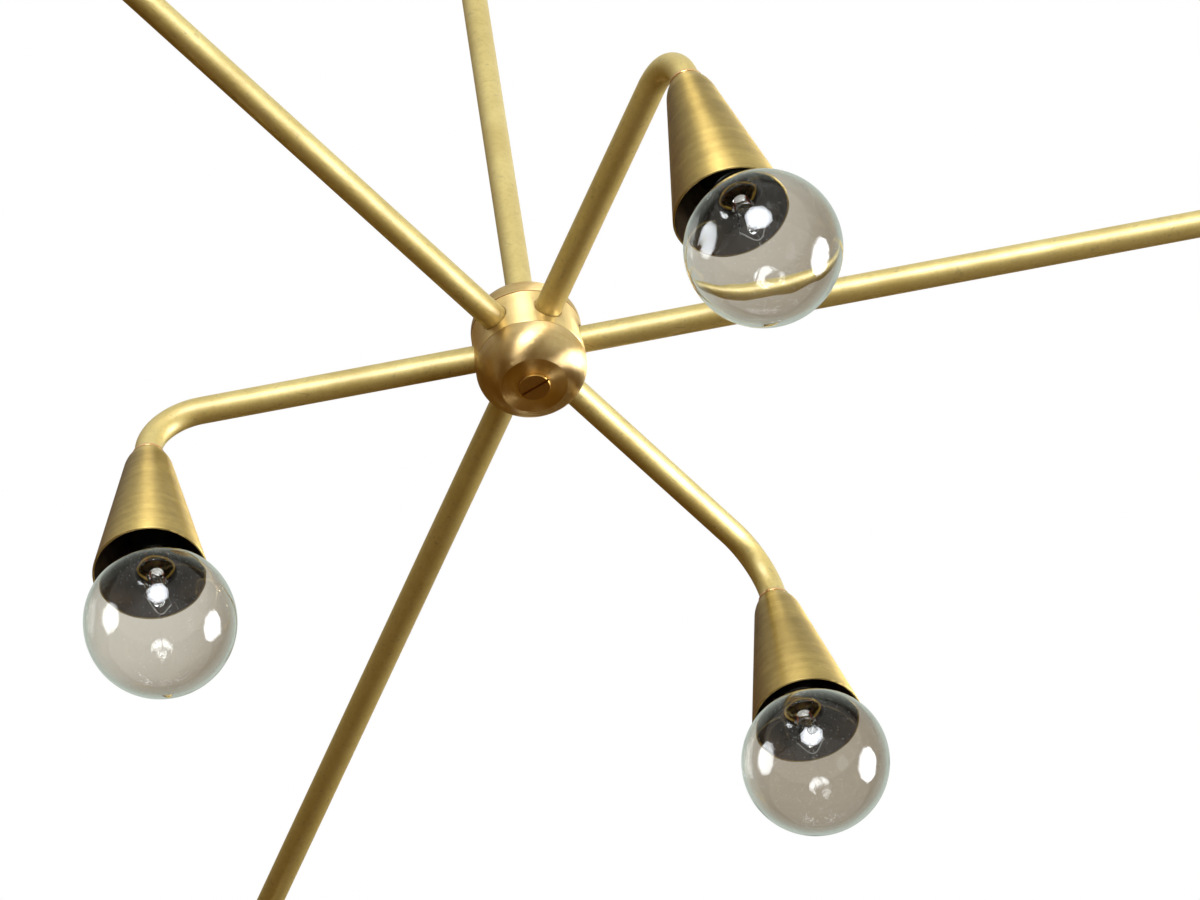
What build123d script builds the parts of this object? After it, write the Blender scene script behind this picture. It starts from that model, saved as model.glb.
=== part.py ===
from build123d import *
from math import atan2, cos, radians, sin, sqrt
import os

# A six-armed ceiling light: a round brass hub hangs on a stem from a canopy, and six bent
# tube arms, three short and three long, each carry a cone with a clear globe bulb.
# All sizes are in millimetres. The origin is on the ceiling, in the middle of the strap
# that is screwed to the outlet box; +Z points up and long arm 1 lies along +X.

os.makedirs("parts", exist_ok=True)

# clearances
slip_gap = 0.05          # radial, where a tube turns or is screwed in a bore
air_gap = 0.3            # between pieces that pass each other without touching

# tube, used for the stem and all the arms
tube_diameter = 9.525    # three eighths of an inch
tube_wall = 1.0

# ring nuts, one size on all the tube ends
nut_diameter = 12.6
nut_height = 2.4
nut_slots = 4
nut_slot_width = 1.6
nut_slot_depth = 0.8
thread_showing = 1.4     # tube end that stands out of a ring nut

# hub
hub_drop = 440.0         # ceiling to the plane of the arms
hub_diameter = 38.8
band_height = 17.0
hub_wall = 3.0
cap_skirt = 1.6          # straight wall of a cap, between the seam and the dome
cap_arc_radius = 10.6
cap_flat_radius = 11.7
seam_chamfer = 0.25
spigot_height = 1.2
spigot_wall = 1.4
spigot_depth = 2.0
bore_relief = 0.35       # radial, around the mouth of each arm bore
relief_depth = 1.2

# bracket inside the hub, between the stem and the cap screw
bracket_span = 18.0
bracket_width = 8.0
bracket_leg = 2.0
bracket_foot = 2.4
bracket_head = 4.0
bracket_corner = 2.5

# slotted screw under the hub
screw_shank_diameter = 6.0
screw_head_diameter = 11.2
screw_head_height = 1.3
screw_slot_width = 1.0
screw_slot_depth = 0.8
screw_slot_angle = -24.0
screw_edge = 0.3

# arms
arm_count = 6
short_reach = 135.4
long_reach = 350.0
extra_reach = {6: 1.2}   # its bend is made a little further out
bend_radius = 19.5
lamp_drop = 21.0         # arm centre line to the top of the collar
turn_of_arm = {2: -2.9, 4: 3.8, 6: 6.9}       # degrees, about the arm's own line
tilt_of_lamp = {2: 0.2, 4: 1.2, 6: -1.6}      # degrees outwards, from an uneven bend
lean_of_bulb = {2: (0.3, 0.9), 4: (-2.8, 1.7), 6: (2.7, -3.6)}   # degrees about X and Y
spin_of_bulb = {2: -57.0, 4: 35.5, 6: 51.5}    # degrees, how far each bulb is screwed round

# collar between arm and cone: a flange over a narrower land
collar_height = 2.4
collar_diameter = 11.4
collar_flange = 1.2
collar_land_inset = 0.3
collar_edge = 0.3

# cone
cone_height = 65.6
cone_rim_diameter = 39.2
cone_neck_diameter = 12.6
cone_neck_height = 6.5
cone_shoulder_diameter = 17.3
cone_wall = 0.9

# bulb
globe_diameter = 51.5
glass_wall = 0.8
globe_below_rim = 22.8
neck_radius = 5.6
neck_length = 3.0
base_lip_above_globe = 28.5
base_lip_radius = 6.4
base_lip_height = 1.2
base_radius = 5.9
base_shell_height = 13.0
base_insulator_height = 3.0
base_tip_radius = 2.6
base_tip_height = 2.0

# filament and its glass mount
mount_radius = 3.2
mount_tip_radius = 1.6
mount_length = 12.5
mount_bead_radius = 2.2
lead_radius = 0.35
lead_spread = 4.5
lead_drop = 8.0
filament_radius = 0.4
filament_drop = 9.0      # from the leads to the hook of the support wire
filament_bend = 0.8

# lamp holder
holder_diameter = 18.0
holder_height = 30.0
holder_edge = 1.0
stub_radius = 3.2
stub_length = 5.0
flange_radius = 4.9
lean_gap = 0.5           # under the tube end, so that a leaning holder clears it

# canopy, its slip collar and the strap on the ceiling
canopy_diameter = 127.0
canopy_height = 25.0
canopy_wall = 1.2
canopy_edge_radius = 9.0
slip_collar_diameter = 18.0
slip_collar_height = 12.0
slip_collar_edge = 1.0
set_screw_diameter = 4.0
set_screw_head_diameter = 7.0
set_screw_head_height = 4.0
set_screw_flutes = 12
strap_length = 106.0
strap_width = 18.0
strap_thickness = 2.5
strap_drop = 12.0
strap_middle = 34.0
strap_ramp = 8.0
box_screw_spacing = 88.9
box_slot_length = 12.0
box_slot_width = 4.8
ground_screw_diameter = 4.0
ground_screw_head_diameter = 8.0
ground_screw_head_height = 2.4
ground_screw_offset = 13.0

# derived sizes
tube_radius = tube_diameter / 2
bore_radius = tube_radius + slip_gap
tube_bore = tube_radius - tube_wall
hub_radius = hub_diameter / 2
hub_bore = hub_radius - hub_wall
nut_radius = nut_diameter / 2
cap_arc_centre = hub_radius - cap_arc_radius
cap_dome = sqrt(cap_arc_radius**2 - (cap_flat_radius - cap_arc_centre)**2)
cap_height = cap_skirt + cap_dome
cap_inner_arc = cap_arc_radius - hub_wall
hub_half = band_height / 2
hub_inner_half = hub_half + cap_height - hub_wall
nut_seat = sqrt(hub_bore**2 - nut_radius**2) - air_gap   # the flat nut meets the round wall
arm_start = nut_seat - nut_height - thread_showing
cone_top = lamp_drop + collar_height
cone_rim = cone_top + cone_height
cone_bore_end = cone_top + cone_neck_height
arm_end = cone_bore_end + nut_height + thread_showing
globe_radius = globe_diameter / 2


def upright(z=0.0):
    """A vertical sketch plane whose local x is +X and whose local y is +Z."""
    return Plane(origin=(0, 0, z), x_dir=(1, 0, 0), z_dir=(0, -1, 0))


def save(solid, name):
    solid.label = name
    export_step(solid, f"parts/{name}.step")


def ring_nut():
    """A slotted ring nut, standing on the XY plane around Z."""
    with BuildPart() as nut:
        with BuildSketch():
            Circle(nut_radius)
            Circle(bore_radius, mode=Mode.SUBTRACT)
            with PolarLocations(nut_radius, nut_slots):
                Rectangle(2 * nut_slot_depth, nut_slot_width, mode=Mode.SUBTRACT)
        extrude(amount=nut_height)
    return nut.part


def hub_cap(centre_hole_radius):
    """A domed cap, seam plane on XY, dome towards +Z, spigot towards -Z."""
    inner_height = cap_height - hub_wall
    inner_flat = cap_arc_centre + sqrt(cap_inner_arc**2 - (inner_height - cap_skirt)**2)
    ledge = cap_arc_centre + sqrt(cap_inner_arc**2 - (spigot_depth - cap_skirt)**2)
    spigot_outer = hub_bore - slip_gap
    spigot_inner = spigot_outer - spigot_wall
    with BuildPart() as cap:
        with BuildSketch(upright()):
            with BuildLine():
                Line((hub_radius, 0), (hub_radius, cap_skirt))
                RadiusArc((hub_radius, cap_skirt), (cap_flat_radius, cap_height), -cap_arc_radius)
                Polyline((cap_flat_radius, cap_height), (centre_hole_radius, cap_height),
                         (centre_hole_radius, inner_height), (inner_flat, inner_height))
                RadiusArc((inner_flat, inner_height), (ledge, spigot_depth), cap_inner_arc)
                Polyline((ledge, spigot_depth), (spigot_inner, spigot_depth),
                         (spigot_inner, -spigot_height), (spigot_outer, -spigot_height),
                         (spigot_outer, 0), (hub_radius, 0))
            make_face()
        revolve(axis=Axis.Z)
        seam_edge = cap.edges().filter_by(GeomType.CIRCLE).filter_by(
            lambda edge: abs(edge.radius - hub_radius) < slip_gap).sort_by(Axis.Z)[0]
        chamfer(seam_edge, seam_chamfer)
    return cap.part


# hub: a bored ring, two domed caps, the inner bracket and the slotted cap screw
hub_plane = Plane.XY.offset(-hub_drop)
arm_angles = [360 / arm_count * index for index in range(arm_count)]

with BuildPart() as hub_band:
    with BuildSketch(hub_plane.offset(-hub_half)):
        Circle(hub_radius)
        Circle(hub_bore, mode=Mode.SUBTRACT)
    extrude(amount=band_height)
    outer_edges = hub_band.edges().filter_by(GeomType.CIRCLE).filter_by(
        lambda edge: abs(edge.radius - hub_radius) < slip_gap)
    chamfer(outer_edges, seam_chamfer)
    for angle in arm_angles:
        bore_plane = Plane(hub_plane.origin, z_dir=Vector(1, 0, 0).rotate(Axis.Z, angle))
        with BuildSketch(bore_plane):
            Circle(bore_radius)
        extrude(amount=hub_diameter, mode=Mode.SUBTRACT)
        with BuildSketch(bore_plane.offset(hub_radius - relief_depth)):
            Circle(bore_radius + bore_relief)
        extrude(amount=relief_depth, mode=Mode.SUBTRACT)
save(hub_band.part, "hub_band")

top_cap = Location((0, 0, hub_half - hub_drop)) * hub_cap(bore_radius)
save(top_cap, "hub_top_cap")
bottom_cap = (Location((0, 0, -hub_half - hub_drop)) * Rotation(180, 0, 0)
              * hub_cap(screw_shank_diameter / 2 + slip_gap))
save(bottom_cap, "hub_bottom_cap")

stem_nut_top = hub_inner_half - hub_drop
bracket_top = hub_inner_half - nut_height
bracket_bottom = -hub_inner_half
with BuildPart() as hub_bracket:
    with BuildSketch(upright(-hub_drop)):
        with BuildLine():
            Polyline((-bracket_span / 2, bracket_bottom), (bracket_span / 2, bracket_bottom),
                     (bracket_span / 2, bracket_top), (-bracket_span / 2, bracket_top),
                     close=True)
        make_face()
        fillet(vertices(), bracket_corner)
        with BuildLine():
            inner_side = bracket_span / 2 - bracket_leg
            Polyline((-inner_side, bracket_bottom + bracket_foot),
                     (inner_side, bracket_bottom + bracket_foot),
                     (inner_side, bracket_top - bracket_head),
                     (-inner_side, bracket_top - bracket_head), close=True)
        make_face(mode=Mode.SUBTRACT)
    extrude(amount=bracket_width / 2, both=True)
    with BuildSketch(hub_plane.offset(bracket_top)):
        Circle(bore_radius)
    extrude(amount=-bracket_head, mode=Mode.SUBTRACT)
    with BuildSketch(hub_plane.offset(bracket_bottom)):
        Circle(screw_shank_diameter / 2 + slip_gap)
    extrude(amount=bracket_foot, mode=Mode.SUBTRACT)
save(hub_bracket.part, "hub_bracket")

hub_floor = -hub_half - cap_height
with BuildPart() as cap_screw:
    with BuildSketch(hub_plane.offset(hub_floor)):
        Circle(screw_head_diameter / 2)
    extrude(amount=-screw_head_height)
    chamfer(cap_screw.faces().sort_by(Axis.Z)[0].edges(), screw_edge)
    with BuildSketch(hub_plane.offset(hub_floor)):
        Circle(screw_shank_diameter / 2)
    extrude(amount=bracket_bottom + bracket_foot - hub_floor + thread_showing)
    with BuildSketch(hub_plane.offset(hub_floor - screw_head_height)):
        Rectangle(2 * screw_head_diameter, screw_slot_width, rotation=screw_slot_angle)
    extrude(amount=screw_slot_depth, mode=Mode.SUBTRACT)
save(cap_screw.part, "cap_screw")

# stem, and the three ring nuts on it
strap_plate_top = -strap_drop + strap_thickness
stem_top = strap_plate_top + nut_height + thread_showing
stem_bottom = bracket_top - bracket_head - hub_drop
with BuildPart() as stem:
    with BuildSketch(Plane.XY.offset(stem_bottom)):
        Circle(tube_radius)
        Circle(tube_bore, mode=Mode.SUBTRACT)
    extrude(amount=stem_top - stem_bottom)
save(stem.part, "stem")

nut = ring_nut()
stem_nut_floors = (strap_plate_top, -strap_drop - nut_height, stem_nut_top - nut_height)
stem_nuts = Compound(children=[Location((0, 0, floor)) * nut for floor in stem_nut_floors])
save(stem_nuts, "stem_nuts")

# ceiling strap: ears on the ceiling, a lowered middle that carries the stem
with BuildPart() as ceiling_strap:
    half = strap_length / 2
    middle = strap_middle / 2
    with BuildSketch(upright()):
        with BuildLine():
            Polyline((-half, 0), (-middle - strap_ramp, 0), (-middle, strap_plate_top),
                     (middle, strap_plate_top), (middle + strap_ramp, 0), (half, 0),
                     (half, -strap_thickness), (middle + strap_ramp, -strap_thickness),
                     (middle, -strap_drop), (-middle, -strap_drop),
                     (-middle - strap_ramp, -strap_thickness), (-half, -strap_thickness),
                     close=True)
        make_face()
    extrude(amount=strap_width / 2, both=True)
    with BuildSketch(Plane.XY):
        with GridLocations(box_screw_spacing, 0, 2, 1):
            SlotOverall(box_slot_length, box_slot_width)
    extrude(amount=-strap_thickness, mode=Mode.SUBTRACT)
    with BuildSketch(Plane.XY.offset(-strap_drop)):
        Circle(bore_radius)
        with Locations((ground_screw_offset, 0)):
            Circle(ground_screw_diameter / 2 + slip_gap)
    extrude(amount=strap_thickness, mode=Mode.SUBTRACT)
save(ceiling_strap.part, "ceiling_strap")

with BuildPart() as ground_screw:
    with BuildSketch(Plane.XY.offset(-strap_drop)):
        with Locations((ground_screw_offset, 0)):
            Circle(ground_screw_head_diameter / 2)
    extrude(amount=-ground_screw_head_height)
    chamfer(ground_screw.faces().sort_by(Axis.Z)[0].edges(), screw_edge)
    with BuildSketch(Plane.XY.offset(-strap_drop)):
        with Locations((ground_screw_offset, 0)):
            Circle(ground_screw_diameter / 2)
    extrude(amount=strap_thickness + thread_showing)
    with BuildSketch(Plane.XY.offset(-strap_drop - ground_screw_head_height)):
        with Locations((ground_screw_offset, 0)):
            Rectangle(2 * ground_screw_head_diameter, screw_slot_width)
    extrude(amount=screw_slot_depth, mode=Mode.SUBTRACT)
save(ground_screw.part, "ground_screw")

# canopy, held up against the ceiling by a slip collar that a set screw locks on the stem
canopy_radius = canopy_diameter / 2
with BuildPart() as canopy:
    with BuildSketch(Plane.XZ):
        with BuildLine():
            Polyline((canopy_radius, 0), (canopy_radius, -canopy_height),
                     (bore_radius + air_gap, -canopy_height), (bore_radius + air_gap, 0),
                     close=True)
        make_face()
    revolve(axis=Axis.Z)
    outer_rim = canopy.faces().sort_by(Axis.Z)[0].edges().sort_by(SortBy.RADIUS)[-1]
    fillet(outer_rim, canopy_edge_radius)
    with BuildSketch(Plane.XZ):
        with BuildLine():
            Polyline((canopy_radius - canopy_wall, 0),
                     (canopy_radius - canopy_wall, -canopy_height + canopy_edge_radius))
            RadiusArc((canopy_radius - canopy_wall, -canopy_height + canopy_edge_radius),
                      (canopy_radius - canopy_edge_radius, -canopy_height + canopy_wall),
                      canopy_edge_radius - canopy_wall)
            Polyline((canopy_radius - canopy_edge_radius, -canopy_height + canopy_wall),
                     (0, -canopy_height + canopy_wall), (0, 0),
                     (canopy_radius - canopy_wall, 0))
        make_face()
    revolve(axis=Axis.Z, mode=Mode.SUBTRACT)
save(canopy.part, "canopy")

slip_collar_middle = -canopy_height - slip_collar_height / 2
set_screw_plane = Plane(origin=(0, 0, slip_collar_middle), z_dir=(0, -1, 0))
with BuildPart() as slip_collar:
    with BuildSketch(Plane.XY.offset(-canopy_height)):
        Circle(slip_collar_diameter / 2)
    extrude(amount=-slip_collar_height)
    chamfer(slip_collar.faces().sort_by(Axis.Z)[0].edges(), slip_collar_edge)
    with BuildSketch(Plane.XY.offset(-canopy_height)):
        Circle(bore_radius)
    extrude(amount=-slip_collar_height, mode=Mode.SUBTRACT)
    with BuildSketch(set_screw_plane):
        Circle(set_screw_diameter / 2 + slip_gap)
    extrude(amount=slip_collar_diameter, mode=Mode.SUBTRACT)
save(slip_collar.part, "slip_collar")

with BuildPart() as set_screw:
    with BuildSketch(set_screw_plane.offset(tube_radius + air_gap)):
        Circle(set_screw_diameter / 2)
    extrude(amount=slip_collar_diameter / 2 - tube_radius)
    with BuildSketch(set_screw_plane.offset(slip_collar_diameter / 2 + air_gap)):
        Circle(set_screw_head_diameter / 2)
        with PolarLocations(set_screw_head_diameter / 2, set_screw_flutes):
            Circle(screw_edge, mode=Mode.SUBTRACT)
    extrude(amount=set_screw_head_height)
save(set_screw.part, "slip_collar_screw")


# arms and lamps: the pieces of one lamp are made once, around a vertical axis, with z = 0 in
# the plane of the arms, and are then turned into place on every arm
def arm_tube(reach, tilt):
    """A tube along +X that bends down to a lamp at x = reach, tilted outwards from plumb."""
    lamp_end = (reach + arm_end * sin(radians(tilt)), -arm_end * cos(radians(tilt)))
    with BuildPart() as tube:
        with BuildLine(upright()):
            FilletPolyline((arm_start, 0), (reach, 0), lamp_end, radius=bend_radius)
        with BuildSketch(Plane(origin=(arm_start, 0, 0), z_dir=(1, 0, 0))):
            Circle(tube_radius)
            Circle(tube_bore, mode=Mode.SUBTRACT)
        sweep()
    return tube.part


with BuildPart() as collar:
    collar_radius = collar_diameter / 2
    land_radius = collar_radius - collar_land_inset
    with BuildSketch(upright(-lamp_drop)):
        with BuildLine():
            Polyline((bore_radius, 0), (collar_radius - collar_edge, 0),
                     (collar_radius, -collar_edge), (collar_radius, -collar_flange),
                     (land_radius, -collar_flange), (land_radius, -collar_height),
                     (bore_radius, -collar_height), close=True)
        make_face()
    revolve(axis=Axis.Z)

with BuildPart() as cone:
    rim_radius = cone_rim_diameter / 2
    shoulder_radius = cone_shoulder_diameter / 2
    with BuildSketch(upright(-cone_top)):
        with BuildLine():
            side = Line((rim_radius, -cone_height), (shoulder_radius, -cone_neck_height))
            shoulder = TangentArc(side @ 1, (cone_neck_diameter / 2, 0), tangent=side % 1)
            Polyline(shoulder @ 1, (bore_radius, 0), (bore_radius, -cone_neck_height),
                     (shoulder_radius - cone_wall, -cone_neck_height),
                     (rim_radius - cone_wall, -cone_height), (rim_radius, -cone_height))
        make_face()
    revolve(axis=Axis.Z)

bulb_plane_height = -cone_rim - globe_below_rim        # centre of the globe
lip_height = base_lip_above_globe
neck_arc = ((globe_radius**2 - neck_radius**2 - lip_height**2)
            / (2 * (neck_radius - globe_radius)))
neck_arc_centre = neck_radius + neck_arc


def glass_half(radius, arc, top):
    """Half outline of the glass at one radius: globe, hollow neck curve, straight neck."""
    share = radius / (radius + arc)
    joint = (neck_arc_centre * share, lip_height * share)
    turn = atan2(joint[1], joint[0])
    middle = (radius * cos((turn - radians(90)) / 2), radius * sin((turn - radians(90)) / 2))
    ball = ThreePointArc((0, -radius), middle, joint)
    neck_side = neck_arc_centre - arc
    curve = TangentArc(ball @ 1, (neck_side, lip_height), tangent=ball % 1)
    Polyline(curve @ 1, (neck_side, top), (0, top), (0, -radius))


with BuildPart() as bulb_glass:
    neck_top = lip_height + neck_length
    with BuildSketch(upright(bulb_plane_height)):
        with BuildLine():
            glass_half(globe_radius, neck_arc, neck_top)
        make_face()
    revolve(axis=Axis.Z)
    with BuildSketch(upright(bulb_plane_height)):
        with BuildLine():
            glass_half(globe_radius - glass_wall, neck_arc + glass_wall, neck_top)
        make_face()
    revolve(axis=Axis.Z, mode=Mode.SUBTRACT)

with BuildPart() as bulb_base:
    shell_top = lip_height + base_lip_height + base_shell_height
    insulator_top = shell_top + base_insulator_height
    tip_top = insulator_top + base_tip_height
    cup = neck_radius + slip_gap
    with BuildSketch(upright(bulb_plane_height)):
        with BuildLine():
            Polyline((cup, lip_height), (base_lip_radius, lip_height),
                     (base_lip_radius, lip_height + base_lip_height),
                     (base_radius, lip_height + base_lip_height), (base_radius, shell_top),
                     (base_tip_radius, insulator_top), (base_tip_radius, tip_top),
                     (0, tip_top), (0, neck_top), (cup, neck_top), close=True)
        make_face()
    revolve(axis=Axis.Z)

with BuildPart() as filament:
    mount_top = neck_top
    mount_bottom = mount_top - mount_length
    wire_bottom = mount_bottom - lead_drop
    hook_bottom = wire_bottom - filament_drop
    with BuildSketch(upright(bulb_plane_height)):
        with BuildLine():
            Polyline((0, mount_top), (mount_radius, mount_top),
                     (mount_tip_radius, mount_bottom + 2 * mount_bead_radius),
                     (mount_bead_radius, mount_bottom + mount_bead_radius),
                     (mount_tip_radius, mount_bottom), (0, mount_bottom), close=True)
        make_face()
    revolve(axis=Axis.Z)
    for side in (-1, 1):
        lead_foot = Vector(side * mount_tip_radius / 2, 0, bulb_plane_height + mount_bottom)
        lead_head = Vector(side * lead_spread, 0, bulb_plane_height + wire_bottom)
        lead_plane = Plane(origin=lead_foot, z_dir=lead_head - lead_foot)
        with BuildSketch(lead_plane.offset(-mount_tip_radius)):
            Circle(lead_radius)
        extrude(amount=mount_tip_radius + (lead_head - lead_foot).length)
    with BuildLine(upright(bulb_plane_height)):
        coil = FilletPolyline((-lead_spread, wire_bottom), (0, hook_bottom),
                              (lead_spread, wire_bottom), radius=filament_bend)
    with BuildSketch(Plane(origin=coil @ 0, z_dir=coil % 0)):
        Circle(filament_radius)
    sweep(path=coil)
    with BuildSketch(Plane.XY.offset(bulb_plane_height + mount_bottom + mount_bead_radius)):
        Circle(lead_radius)
    extrude(amount=hook_bottom + filament_bend - mount_bottom - mount_bead_radius)

holder_mouth = lip_height + base_lip_height + air_gap
holder_top = holder_mouth + holder_height
with BuildPart() as holder_body:
    bore = base_radius + slip_gap
    contact = tip_top + air_gap
    with BuildSketch(upright(bulb_plane_height)):
        with BuildLine():
            Polyline((bore, holder_mouth), (holder_diameter / 2, holder_mouth),
                     (holder_diameter / 2, holder_top - holder_edge),
                     (holder_diameter / 2 - holder_edge, holder_top), (0, holder_top),
                     (0, contact), (bore, contact), close=True)
        make_face()
    revolve(axis=Axis.Z)

with BuildPart() as holder_stub:
    tube_foot = -arm_end - bulb_plane_height - lean_gap
    with BuildSketch(upright(bulb_plane_height)):
        with BuildLine():
            Polyline((0, holder_top), (flange_radius, holder_top),
                     (flange_radius, tube_foot), (stub_radius, tube_foot),
                     (stub_radius, tube_foot + stub_length),
                     (0, tube_foot + stub_length), close=True)
        make_face()
    revolve(axis=Axis.Z)

for index, angle in enumerate(arm_angles):
    number = index + 1
    reach = (short_reach if number % 2 == 0 else long_reach) + extra_reach.get(number, 0.0)
    turn = turn_of_arm.get(number, 0.0)
    tilt = tilt_of_lamp.get(number, 0.0)
    lean_x, lean_y = lean_of_bulb.get(number, (0.0, 0.0))
    arm_place = Location((0, 0, -hub_drop)) * Rotation(0, 0, angle) * Rotation(turn, 0, 0)
    lamp_place = arm_place * Location((reach, 0, 0)) * Rotation(0, -tilt, 0)
    pivot = Location((0, 0, -arm_end))
    spin = Rotation(0, 0, spin_of_bulb.get(number, 0.0))
    bulb_place = lamp_place * pivot * Rotation(lean_x, lean_y, 0) * pivot.inverse() * spin
    hub_nut = arm_place * Location((nut_seat, 0, 0)) * Rotation(0, -90, 0) * nut
    cone_nut = lamp_place * Location((0, 0, -cone_bore_end - nut_height)) * nut
    save(arm_place * arm_tube(reach, tilt), f"arm_{number}")
    save(Compound(children=[hub_nut, cone_nut]), f"arm_nuts_{number}")
    save(lamp_place * collar.part, f"collar_{number}")
    save(lamp_place * cone.part, f"cone_{number}")
    holder = Compound(children=[bulb_place * holder_body.part, bulb_place * holder_stub.part])
    save(holder, f"lamp_holder_{number}")
    save(bulb_place * bulb_glass.part, f"bulb_glass_{number}")
    save(bulb_place * bulb_base.part, f"bulb_base_{number}")
    save(bulb_place * filament.part, f"filament_{number}")
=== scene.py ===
import bpy
import bmesh
from math import acos, atan2, cos, hypot, pi, radians, sin
from mathutils import Matrix, Vector


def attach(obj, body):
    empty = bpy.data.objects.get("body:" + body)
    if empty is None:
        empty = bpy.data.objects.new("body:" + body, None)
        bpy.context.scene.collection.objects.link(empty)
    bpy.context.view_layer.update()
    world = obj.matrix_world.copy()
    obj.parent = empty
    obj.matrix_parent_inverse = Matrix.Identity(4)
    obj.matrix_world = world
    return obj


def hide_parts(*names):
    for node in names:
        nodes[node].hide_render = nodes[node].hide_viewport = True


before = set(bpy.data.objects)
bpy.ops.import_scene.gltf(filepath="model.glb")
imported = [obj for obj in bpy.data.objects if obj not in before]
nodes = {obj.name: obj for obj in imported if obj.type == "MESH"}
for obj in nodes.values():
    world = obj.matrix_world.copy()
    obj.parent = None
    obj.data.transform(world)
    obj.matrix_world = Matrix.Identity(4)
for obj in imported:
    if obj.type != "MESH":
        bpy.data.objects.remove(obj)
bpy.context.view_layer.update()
mm = 0.001
print("frame loaded:", len(nodes), "nodes")

# where the arms leave the hub, and how each lamp and bulb stands; the angles are in degrees
layout = {
    "hubDrop": 440 * mm,
    "armCount": 6,
    "shortReach": 135.4 * mm,
    "longReach": 350 * mm,
    "extraReach": {6: 1.2 * mm},
    "turn": {2: -2.9, 4: 3.8, 6: 6.9},
    "tilt": {2: 0.2, 4: 1.2, 6: -1.6},
    "lean": {2: (0.3, 0.9), 4: (-2.8, 1.7), 6: (2.7, -3.6)},
    "spin": {2: -57.0, 4: 35.5, 6: 51.5},
}
tubeShape = {"radius": 4.7625 * mm, "wall": 1.0 * mm, "bend": 19.5 * mm, "start": 11.05 * mm,
             "stemTop": 5.7 * mm, "stemEnd": 10.9 * mm, "sides": 64, "bendSteps": 28}
collarShape = {"drop": 21.0 * mm, "height": 2.4 * mm, "radius": 5.7 * mm, "flange": 1.2 * mm,
               "land": 5.4 * mm, "soft": 0.25 * mm, "gap": 0.02 * mm}
coneShape = {"height": 65.6 * mm, "rim": 19.6 * mm, "neck": 6.3 * mm, "neckHeight": 6.5 * mm,
             "shoulder": 8.65 * mm, "wall": 0.9 * mm, "soft": 0.3 * mm, "nutRoom": 3.8 * mm,
             "gap": 0.05 * mm}
bulbShape = {"radius": 25.75 * mm, "wall": 0.75 * mm, "thicker": 0.7 * mm, "belowRim": 22.8 * mm,
             "neck": 5.6 * mm, "lip": 28.5 * mm, "neckLength": 3.0 * mm, "sides": 144}
coneTop = collarShape["drop"] + collarShape["height"]
coneRim = coneTop + coneShape["height"]
armEnd = coneTop + coneShape["neckHeight"] + coneShape["nutRoom"]
bulbCentre = coneRim + bulbShape["belowRim"]


def turnAbout(axis, degrees):
    return Matrix.Rotation(radians(degrees), 4, axis)


def shift(x=0.0, y=0.0, z=0.0):
    return Matrix.Translation((x, y, z))


def arcPoints(centre, radius, first, last, steps):
    points = []
    for step in range(steps + 1):
        angle = radians(first + (last - first) * step / steps)
        points.append((centre[0] + radius * cos(angle), centre[1] + radius * sin(angle)))
    return points


# a corner is (distance from the axis, height, softening radius); a sharp one has no radius
def softCorners(corners, steps=4):
    points = []
    for index, corner in enumerate(corners):
        here = Vector(corner[:2])
        soft = corner[2] if len(corner) > 2 else 0.0
        if soft == 0.0:
            points.append(tuple(here))
            continue
        toLast = (Vector(corners[index - 1][:2]) - here).normalized()
        toNext = (Vector(corners[(index + 1) % len(corners)][:2]) - here).normalized()
        half = acos(max(-1.0, min(1.0, toLast.dot(toNext)))) / 2
        centre = here + (toLast + toNext).normalized() * soft / sin(half)
        run = soft / sin(half) * cos(half)
        start = here + toLast * run - centre
        end = here + toNext * run - centre
        first = atan2(start.y, start.x)
        sweep = (atan2(end.y, end.x) - first + pi) % (2 * pi) - pi
        for step in range(steps + 1):
            angle = first + sweep * step / steps
            points.append((centre.x + soft * cos(angle), centre.y + soft * sin(angle)))
    return points


def meshFrom(shape, name):
    mesh = bpy.data.meshes.new(name)
    shape.to_mesh(mesh)
    shape.free()
    return mesh


def finishMesh(shape, name, sharpAngle):
    bmesh.ops.recalc_face_normals(shape, faces=shape.faces)
    mesh = meshFrom(shape, name)
    mesh.shade_smooth()
    mesh.set_sharp_from_angle(angle=radians(sharpAngle))
    return mesh


# turns a closed outline round the Z axis; ripple moves a point in or out as the turn goes on
def latheMesh(name, outline, sides=96, sharpAngle=35, ripple=None):
    shape = bmesh.new()
    rings = []
    for index, (radius, height) in enumerate(outline):
        # a point on the axis is a single vertex
        if radius < 1e-7:
            rings.append([shape.verts.new((0, 0, height))])
            continue
        ring = []
        for side in range(sides):
            angle = 2 * pi * side / sides
            reach = radius + (ripple(index, height, angle) if ripple else 0.0)
            ring.append(shape.verts.new((reach * cos(angle), reach * sin(angle), height)))
        rings.append(ring)
    for index, ring in enumerate(rings):
        following = rings[(index + 1) % len(rings)]
        if len(ring) == 1 and len(following) == 1:
            continue
        for side in range(sides):
            ahead = side + 1
            corners = [ring[side % len(ring)], ring[ahead % len(ring)],
                       following[ahead % len(following)], following[side % len(following)]]
            shape.faces.new(list(dict.fromkeys(corners)))
    return finishMesh(shape, name, sharpAngle)


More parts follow.
